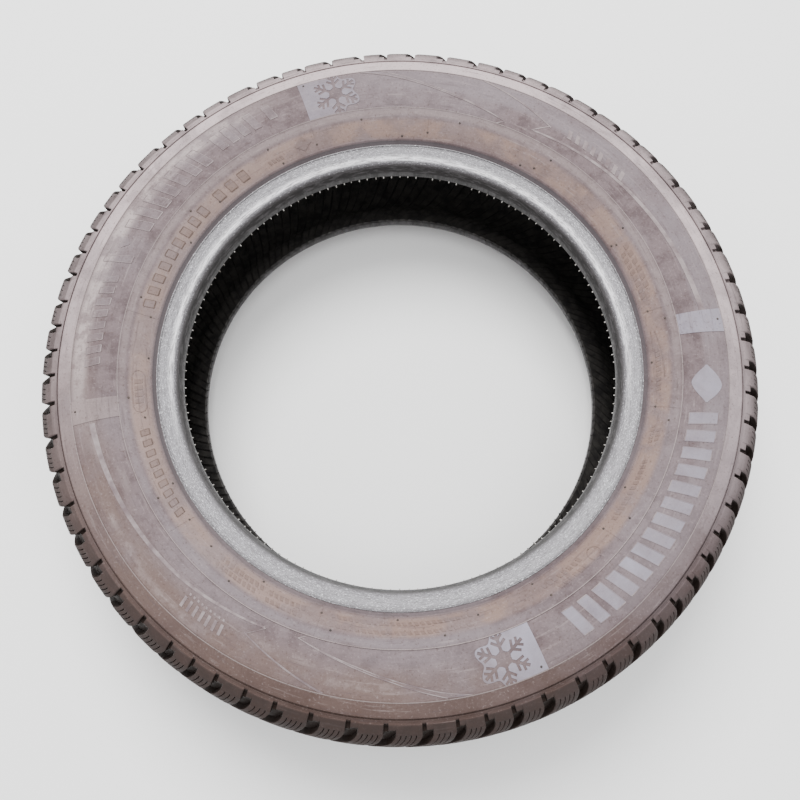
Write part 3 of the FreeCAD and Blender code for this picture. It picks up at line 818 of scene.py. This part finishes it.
class Nodes:
    """A short way to write a material's node tree."""

    def __init__(self, name):
        self.material = bpy.data.materials.new(name)
        self.material.use_nodes = True
        self.tree = self.material.node_tree
        self.shader = self.tree.nodes["Principled BSDF"]

    def new(self, kind, **settings):
        node = self.tree.nodes.new(kind)
        for key, value in settings.items():
            setattr(node, key, value)
        return node

    def link(self, source, target):
        self.tree.links.new(source, target)

    def feed(self, socket, value):
        if isinstance(value, bpy.types.NodeSocket):
            self.link(value, socket)
        else:
            socket.default_value = value

    def math(self, operation, first, second=0.0, clamp=False):
        node = self.new("ShaderNodeMath", operation=operation, use_clamp=clamp)
        self.feed(node.inputs[0], first)
        self.feed(node.inputs[1], second)
        return node.outputs[0]

    def noise(self, vector, scale, detail=4.0, rough=0.6, distortion=0.0):
        node = self.new("ShaderNodeTexNoise")
        self.link(vector, node.inputs["Vector"])
        for key, value in (("Scale", scale), ("Detail", detail), ("Roughness", rough),
                           ("Distortion", distortion)):
            node.inputs[key].default_value = value
        return node.outputs["Fac"]

    def band(self, value, low, high, start=0.0, end=1.0):
        """Smoothly from start to end as the value goes from low to high."""
        node = self.new("ShaderNodeMapRange", interpolation_type="SMOOTHSTEP")
        self.feed(node.inputs["Value"], value)
        for key, limit in (("From Min", low), ("From Max", high), ("To Min", start),
                           ("To Max", end)):
            node.inputs[key].default_value = limit
        return node.outputs["Result"]

    def window(self, value, low, high, soft):
        """One between low and high, and nought outside, with soft edges."""
        rises = self.band(value, low - soft, low + soft)
        falls = self.band(value, high - soft, high + soft, 1.0, 0.0)
        return self.math("MULTIPLY", rises, falls)

    def mix(self, amount, first, second, blend="MIX"):
        node = self.new("ShaderNodeMix", data_type="RGBA", blend_type=blend)
        self.feed(node.inputs[0], amount)
        for socket, value in ((node.inputs[6], first), (node.inputs[7], second)):
            if isinstance(value, tuple):
                value = value + (1.0,)
            self.feed(socket, value)
        return node.outputs[2]

    def place(self):
        """Radius and height above mid-plane in mm, and the cosine and sine of the angle."""
        self.coords = self.new("ShaderNodeTexCoord").outputs["Object"]
        split = self.new("ShaderNodeSeparateXYZ")
        self.link(self.coords, split.inputs[0])
        x, y, z = [self.math("MULTIPLY", axis, 1000.0) for axis in split.outputs]
        squares = self.math("ADD", self.math("MULTIPLY", x, x), self.math("MULTIPLY", y, y))
        self.radius = self.math("SQRT", squares)
        self.height = self.math("ABSOLUTE", self.math("SUBTRACT", z, HALF))
        self.upper = self.band(z, HALF - 5.0, HALF + 5.0)
        self.cosine = self.math("DIVIDE", x, self.radius)
        self.sine = self.math("DIVIDE", y, self.radius)

    def streaks(self, around, across, scale=1.5, detail=4.0, rough=0.6):
        """Noise stretched round the tyre: around and across are its fineness each way."""
        join = self.new("ShaderNodeCombineXYZ")
        parts = ((self.cosine, around), (self.sine, around), (self.radius, across))
        for socket, (value, fineness) in zip(join.inputs, parts):
            self.link(self.math("MULTIPLY", value, fineness), socket)
        return self.noise(join.outputs[0], scale, detail, rough)

    def near(self, angle, reach, soft):
        """One within reach degrees of an angle round the tyre, with soft ends."""
        towards = self.math("ADD",
                            self.math("MULTIPLY", self.cosine, math.cos(math.radians(angle))),
                            self.math("MULTIPLY", self.sine, math.sin(math.radians(angle))))
        low = math.cos(math.radians(reach + soft))
        high = math.cos(math.radians(max(reach - soft, 0.0)))
        return self.band(towards, low, high)

    def times(self, first, *others):
        for other in others:
            first = self.math("MULTIPLY", first, other)
        return first

    def lay(self, paint, *masks):
        """Put a colour over what is there, as far as the masks' product allows."""
        self.colour = self.mix(self.times(*masks), self.colour, paint)

    def bump(self, height, strength, distance):
        node = self.new("ShaderNodeBump")
        node.inputs["Strength"].default_value = strength
        node.inputs["Distance"].default_value = distance
        self.link(height, node.inputs["Height"])
        self.link(node.outputs["Normal"], self.shader.inputs["Normal"])


RUBBER = (0.122, 0.090, 0.094)
RUBBER_DARK = (0.070, 0.050, 0.052)
HAZE = (0.166, 0.138, 0.148)
BROWN = (0.118, 0.080, 0.070)
TAN = (0.190, 0.128, 0.108)
WARM = (0.205, 0.162, 0.158)
DUST_AND_PAINTED_LIGHT = (0.412, 0.338, 0.340)
PALE_DUST = (0.330, 0.275, 0.268)
MUD_AND_PAINTED_SHADE = (0.060, 0.036, 0.029)
GROOVE_DIRT_AND_PAINTED_SHADE = (0.011, 0.006, 0.004)
BLOCK = (0.028, 0.020, 0.018)
PLATE = (0.250, 0.235, 0.282)
EDGE = (0.222, 0.184, 0.184)
MARK_DARK = (0.070, 0.046, 0.037)
MARK_PALE = (0.125, 0.085, 0.070)
STEP = (0.066, 0.058, 0.062)
BEAD_PALE = (0.235, 0.227, 0.240)
BEAD_GREY = (0.062, 0.056, 0.058)
BEAD_DARK = (0.014, 0.012, 0.012)
BEAD_PAINTED_HIGHLIGHT = (0.850, 0.830, 0.850)
BEAD_FACE = (0.095, 0.088, 0.092)
BEAD_SMEAR = (0.090, 0.083, 0.086)
BEAD_CHIP = (0.720, 0.720, 0.740)
LINER_DARK = (0.012, 0.011, 0.011)
LINER_PALE = (0.040, 0.037, 0.034)
VENT_DARK = (0.020, 0.016, 0.014)
VENT_PALE = (0.060, 0.045, 0.036)
NUB_PALE = (0.62, 0.60, 0.57)
NUB_GREY = (0.22, 0.20, 0.18)
FLOOR = (0.93, 0.93, 0.92)
SKY = (0.97, 0.98, 1.0)

# Pale smears on the wall: angle, radius, reach in degrees.
SMEARS = ((252.0, 253.0, 9.0), (214.0, 264.0, 5.0), (203.0, 243.0, 4.0), (228.0, 268.0, 8.0),
          (262.0, 262.0, 7.0), (196.0, 257.0, 3.0))


def rubber_material(name, kind):
    """Old rubber: grey, hazed with dust that lies in rings, scuffed, brown with painted shade in the
    grooves, and with painted light and shade in the dust outside the band.

    Kind is wall, relief or tread."""
    n = Nodes(name)
    n.place()
    wide = n.noise(n.coords, 9.0, 3.0, 0.55)
    patch = n.noise(n.coords, 24.0, 5.0, 0.62, 0.4)
    mottle = n.noise(n.coords, 75.0, 5.0, 0.66)
    grain = n.noise(n.coords, 520.0, 3.0, 0.7)
    drawn = n.streaks(5.0, 0.30)
    hair = n.streaks(16.0, 2.4, 1.3, 3.0, 0.75)

    n.colour = RUBBER
    n.lay(RUBBER_DARK, n.band(mottle, 0.40, 0.68, 0.0, 0.74))
    if kind == "relief":
        n.lay(HAZE, 0.30)
    n.lay(HAZE, n.band(wide, 0.45, 0.60), 0.42)
    # brown dust has settled on the front left
    n.lay(BROWN, n.near(236.0, 48.0, 24.0), n.band(n.radius, 240.0, 262.0),
          n.band(patch, 0.28, 0.62, 0.35, 0.95))

    # tan dirt next to the bead, paler on the left, and a dusty ring outside it
    n.lay(TAN, n.window(n.radius, 210.5, 225.0, 2.5), n.band(patch, 0.40, 0.56, 0.40, 0.98))
    n.lay(PALE_DUST, n.near(185.0, 60.0, 35.0), n.band(n.radius, 227.0, 224.0), 0.16)
    ring = n.window(n.radius, 227.5, 233.0, 2.0)
    n.lay(HAZE, ring, n.near(245.0, 45.0, 25.0), 0.60)
    n.lay(WARM, ring, n.near(90.0, 100.0, 30.0), 0.60)
    # haze on the outer half of the wall at the right
    n.lay(HAZE, n.band(n.radius, 248.0, 256.0), n.near(30.0, 55.0, 30.0),
          n.band(patch, 0.28, 0.62, 0.40, 0.90))

    # dust outside the band: pale at the back, and brown with mud at the front; the pale back is
    # partly painted light and the dark front partly painted shade
    outside = n.band(n.radius, 270.8, 273.5)
    n.lay(DUST_AND_PAINTED_LIGHT, outside, n.near(86.0, 98.0, 40.0), n.band(patch, 0.28, 0.62, 0.35, 1.0))
    n.lay(MUD_AND_PAINTED_SHADE, outside, n.near(268.0, 18.0, 58.0), n.band(patch, 0.30, 0.65, 1.0, 0.55))

    # worn pale haze along the outer half of the long field, and a few smears
    n.lay(PALE_DUST, n.window(n.radius, 259.0, 271.5, 4.0), n.near(155.0, 30.0, 16.0),
          n.band(mottle, 0.38, 0.60, 0.25, 0.95))
    for angle, radius, reach in SMEARS:
        across = n.window(n.radius, radius - 3.0, radius + 3.0, 3.0)
        n.lay(PALE_DUST, n.near(angle, reach, 3.5), across, n.band(mottle, 0.42, 0.60, 0.0, 0.26))

    # the two plain plates, level with the wall
    for (first, last), paint in zip(PLATES, (PLATE, WARM)):
        n.lay(paint, n.near((first + last) / 2, (last - first) / 2, 0.06),
              n.window(n.radius, INNER_RIDGE + 1.0, OUTER_RIDGE, 0.3), n.upper,
              n.band(patch, 0.25, 0.65, 0.85, 0.45))

    # the thin ridges are rubbed pale
    ridges = [n.window(n.radius, low + 0.1, low + 0.9, 0.25) for low in (INNER_RIDGE, OUTER_RIDGE)]
    n.lay(PALE_DUST, n.math("MAXIMUM", *ridges), 0.55)

    # scratches drawn round the wall, and specks
    n.lay(PALE_DUST, n.band(drawn, 0.58, 0.74, 0.0, 0.25))
    n.lay(RUBBER_DARK, n.band(drawn, 0.44, 0.30, 0.0, 0.40))
    n.lay(PALE_DUST, n.band(hair, 0.66, 0.76, 0.0, 0.35))
    n.lay(PALE_DUST, n.band(grain, 0.56, 0.74, 0.0, 0.30))
    n.lay(MUD_AND_PAINTED_SHADE, n.band(grain, 0.44, 0.28, 0.0, 0.60))

    rough = n.band(mottle, 0.3, 0.7, 0.60, 0.85)
    if kind == "relief":
        relief_colour(n, patch)
    elif kind == "tread":
        tread_colour(n, mottle)
    else:
        rough = bead_and_liner(n, rough)

    n.link(n.colour, n.shader.inputs["Base Color"])
    n.link(rough, n.shader.inputs["Roughness"])
    n.shader.inputs["Specular IOR Level"].default_value = 0.12 if kind == "tread" else 0.25
    uneven = n.math("ADD", n.times(mottle, 0.9), n.times(hair, 0.25))
    uneven = n.math("ADD", n.times(grain, 0.35), uneven)
    n.bump(uneven, 0.45, 0.0008)
    return n.material


def relief_colour(n, patch):
    """Plates and bars: bluish and pale at the front right and on the plate at the back, and
    muddy next to the bead."""
    paler = n.math("MAXIMUM", n.near(322.0, 40.0, 6.0), n.times(n.near(105.0, 9.0, 3.0), 0.6))
    n.lay(PLATE, paler, n.window(n.radius, INNER_RIDGE + 1.0, OUTER_RIDGE + 0.5, 0.4),
          n.band(patch, 0.25, 0.65, 0.90, 0.40))
    n.lay(MUD_AND_PAINTED_SHADE, n.band(n.radius, 227.0, 225.0), n.band(patch, 0.30, 0.60, 0.10, 0.30))


def tread_colour(n, mottle):
    """Worn block faces, with painted shade on the shoulder at the front, and brown dirt and painted
    shade down in the grooves.
    """
    # depth below the blocks' faces, from the crown's and the shoulder's arcs
    crown = n.math("SQRT", n.math("SUBTRACT", CROWN_ARC ** 2, n.times(n.height, n.height)))
    crown_depth = n.math("SUBTRACT", n.math("ADD", crown, CROWN_CENTRE), n.radius)
    dr = n.math("SUBTRACT", n.radius, SHOULDER_R)
    dz = n.math("SUBTRACT", n.height, SHOULDER_Z)
    reach = n.math("SQRT", n.math("ADD", n.times(dr, dr), n.times(dz, dz)))
    shoulder_depth = n.math("SUBTRACT", SHOULDER_ARC, reach)
    on_shoulder = n.band(n.height, SHOULDER_START - 0.5, SHOULDER_START + 0.5)
    depth = n.math("ADD", n.times(crown_depth, n.math("SUBTRACT", 1.0, on_shoulder)),
                   n.times(shoulder_depth, on_shoulder))
    # the blocks are darker on the tread than at the shoulder, except at the front and the left; at
    # the front this darkening of the shoulder is painted shade
    front = n.times(n.near(258.0, 56.0, 50.0), n.band(n.radius, 286.8, 290.0), 0.94)
    left = n.times(n.near(160.0, 42.0, 28.0), n.band(n.radius, 289.0, 292.0), 0.80)
    block_tone_and_front_shade = n.math("MAXIMUM", n.band(n.radius, 288.0, 302.0, 0.35, 1.0), front)
    block_tone_and_front_shade = n.math("MAXIMUM", block_tone_and_front_shade, left)
    n.lay(BLOCK, block_tone_and_front_shade, n.band(mottle, 0.3, 0.7, 1.0, 0.78))
    # painted shade: the grooves darken with depth, less so at the back, as well as being browned
    # with dirt
    less_at_back = n.math("SUBTRACT", 1.0, n.times(n.near(65.0, 50.0, 20.0), 0.80))
    n.lay(GROOVE_DIRT_AND_PAINTED_SHADE, n.band(depth, 0.4, 1.4), n.band(n.radius, 286.6, 288.5), less_at_back,
          n.band(mottle, 0.25, 0.72, 1.0, 0.80))


def bead_and_liner(n, rough):
    """The scuffed grey bead that darkens towards its toe, with a painted highlight on its heel, and
    the nearly black inner liner.
    """
    fine = n.streaks(60.0, 1.5, 1.6, 5.0, 0.72)
    long = n.streaks(12.0, 0.8, 1.6, 4.0, 0.62)
    cleaner = n.math("SUBTRACT", 0.8, n.times(n.near(285.0, 60.0, 30.0), 0.6))
    n.lay(STEP, n.window(n.radius, 206.3, 208.6, 0.25), n.band(n.height, 66.0, 70.0), cleaner)
    wall = n.colour
    n.colour = BEAD_PALE
    n.lay(BEAD_GREY, n.band(n.height, 68.0, 63.0))
    n.lay(BEAD_DARK, n.band(n.height, 65.0, 60.0))
    # a painted highlight along the heel's corner, on the back half only
    n.lay(BEAD_PAINTED_HIGHLIGHT, n.window(n.height, 67.4, 69.4, 0.9), n.near(95.0, 95.0, 22.0),
          n.band(long, 0.35, 0.65, 1.0, 0.45))
    n.lay(BEAD_FACE, n.band(n.radius, 201.5, 204.8, 0.0, 0.60))
    n.lay(BEAD_SMEAR, n.band(long, 0.45, 0.66, 0.0, 0.55))
    n.lay(BEAD_CHIP, n.band(fine, 0.58, 0.63), n.band(n.height, 62.0, 68.0))
    n.lay(BEAD_DARK, n.band(fine, 0.46, 0.33, 0.0, 0.75))
    bead = n.colour
    face = n.band(n.radius, 206.3, 205.9)
    n.colour = wall
    n.lay(bead, face)
    # the liner lies below a line from the toe to the core, and beyond it deep under the wall
    toe_height = TOE - TOE_STEP
    core_height = 58.9
    slope = (core_height - toe_height) / (BEAD_CORE - BEAD - TOE_STEP)
    line = n.times(n.math("SUBTRACT", n.radius, BEAD + TOE_STEP), slope)
    line = n.math("ADD", line, toe_height + 0.6)
    below = n.times(n.band(n.math("SUBTRACT", line, n.height), -0.3, 0.3),
                    n.band(n.radius, 207.0, 206.0))
    dr = n.math("SUBTRACT", n.radius, WIDEST)
    arc = n.math("SQRT", n.math("SUBTRACT", (LOWER_ARC - 4.0) ** 2, n.times(dr, dr)))
    skin = n.math("SUBTRACT", n.math("ADD", arc, LOWER_CENTRE), n.height)
    deep = n.times(n.band(skin, -0.5, 1.0), n.band(n.radius, 206.0, 207.0))
    shell = n.math("ADD", below, deep, True)
    mixed = n.noise(n.coords, 60.0, 4.0, 0.6)
    n.lay(n.mix(n.band(mixed, 0.40, 0.70), LINER_DARK, LINER_PALE), shell)
    return n.math("ADD", n.times(rough, n.math("SUBTRACT", 1.0, face)),
                  n.times(face, n.band(fine, 0.30, 0.70, 0.34, 0.60)))


def plain_material(name, first, second, scale, rough):
    """A rubber that varies a little between two colours."""
    n = Nodes(name)
    shade = n.noise(n.new("ShaderNodeTexCoord").outputs["Object"], scale, 4.0, 0.6)
    n.link(n.mix(n.band(shade, 0.35, 0.68), first, second), n.shader.inputs["Base Color"])
    n.link(n.band(shade, 0.3, 0.7, rough - 0.1, rough + 0.08), n.shader.inputs["Roughness"])
    n.shader.inputs["Specular IOR Level"].default_value = 0.35
    n.bump(shade, 0.3, 0.0004)
    return n.material


# ------ build

wall_rubber = rubber_material("wall_rubber", "wall")
tread_rubber = rubber_material("tread_rubber", "tread")
relief_rubber = rubber_material("relief_rubber", "relief")
edge_rubber = plain_material("edge_rubber", EDGE, RUBBER, 60.0, 0.75)
mark_rubber = plain_material("mark_rubber", MARK_DARK, MARK_PALE, 50.0, 0.8)
vent_rubber = plain_material("vent_rubber", VENT_DARK, VENT_PALE, 300.0, 0.7)
liner_rubber = plain_material("liner_rubber", LINER_PALE, LINER_DARK, 90.0, 0.60)
nub_rubber = plain_material("nub_rubber", NUB_PALE, NUB_GREY, 350.0, 0.55)
dull_nub_rubber = plain_material("dull_nub_rubber", LINER_PALE, LINER_DARK, 350.0, 0.75)

build_carcass(wall_rubber)
build_tread("tread_upper", tread_rubber, 1)
build_tread("tread_lower", tread_rubber, -1)
build_relief(relief_rubber, edge_rubber, mark_rubber)
build_plates(relief_rubber)
build_vents(vent_rubber)
build_ribs("liner_ribs_upper", liner_rubber, 1)
build_ribs("liner_ribs_lower", liner_rubber, -1)
build_nubs("toe_nubs_upper", nub_rubber, 1)
build_nubs("toe_nubs_lower", dull_nub_rubber, -1)

# ------ stage, light and camera

REACH = 6.0
TILT = math.radians(15.43)
DISTANCE = 0.8502

floor_mesh = bpy.data.meshes.new("floor")
corners = [(-REACH, -REACH, 0), (REACH, -REACH, 0), (REACH, REACH, 0), (-REACH, REACH, 0)]
floor_mesh.from_pydata(corners, [], [(0, 1, 2, 3)])
floor = bpy.data.objects.new("floor", floor_mesh)
bpy.context.scene.collection.objects.link(floor)
floor_paint = Nodes("floor_paint")
floor_paint.shader.inputs["Base Color"].default_value = FLOOR + (1.0,)
floor_paint.shader.inputs["Roughness"].default_value = 0.9
floor_mesh.materials.append(floor_paint.material)


def area_light(name, place, size, power):
    """A soft round light, in metres and watts, that faces the middle of the tyre."""
    towards = Vector((0.0, 0.0, 0.1)) - Vector(place)
    light = bpy.data.lights.new(name, "AREA")
    light.shape = "DISK"
    light.size = size
    light.energy = power
    lamp = bpy.data.objects.new(name, light)
    lamp.location = place
    lamp.rotation_euler = towards.to_track_quat("-Z", "Y").to_euler()
    bpy.context.scene.collection.objects.link(lamp)


area_light("key", (-0.35, 1.2, 2.6), 1.5, 120.0)
area_light("top", (0.3, -0.3, 2.9), 2.4, 45.0)

world = bpy.data.worlds.new("studio")
world.use_nodes = True
sky = world.node_tree.nodes["Background"]
sky.inputs["Color"].default_value = SKY + (1.0,)
sky.inputs["Strength"].default_value = 1.15
bpy.context.scene.world = world

camera_data = bpy.data.cameras.new("camera")
camera_data.lens = 41.45
camera_data.sensor_width = 36.0
camera_data.shift_y = -0.0186
camera = bpy.data.objects.new("camera", camera_data)
camera.location = (0.0, -DISTANCE * math.sin(TILT), HALF * MM + DISTANCE * math.cos(TILT))
camera.rotation_euler = (TILT, 0.0, 0.0)
bpy.context.scene.collection.objects.link(camera)
bpy.context.scene.camera = camera
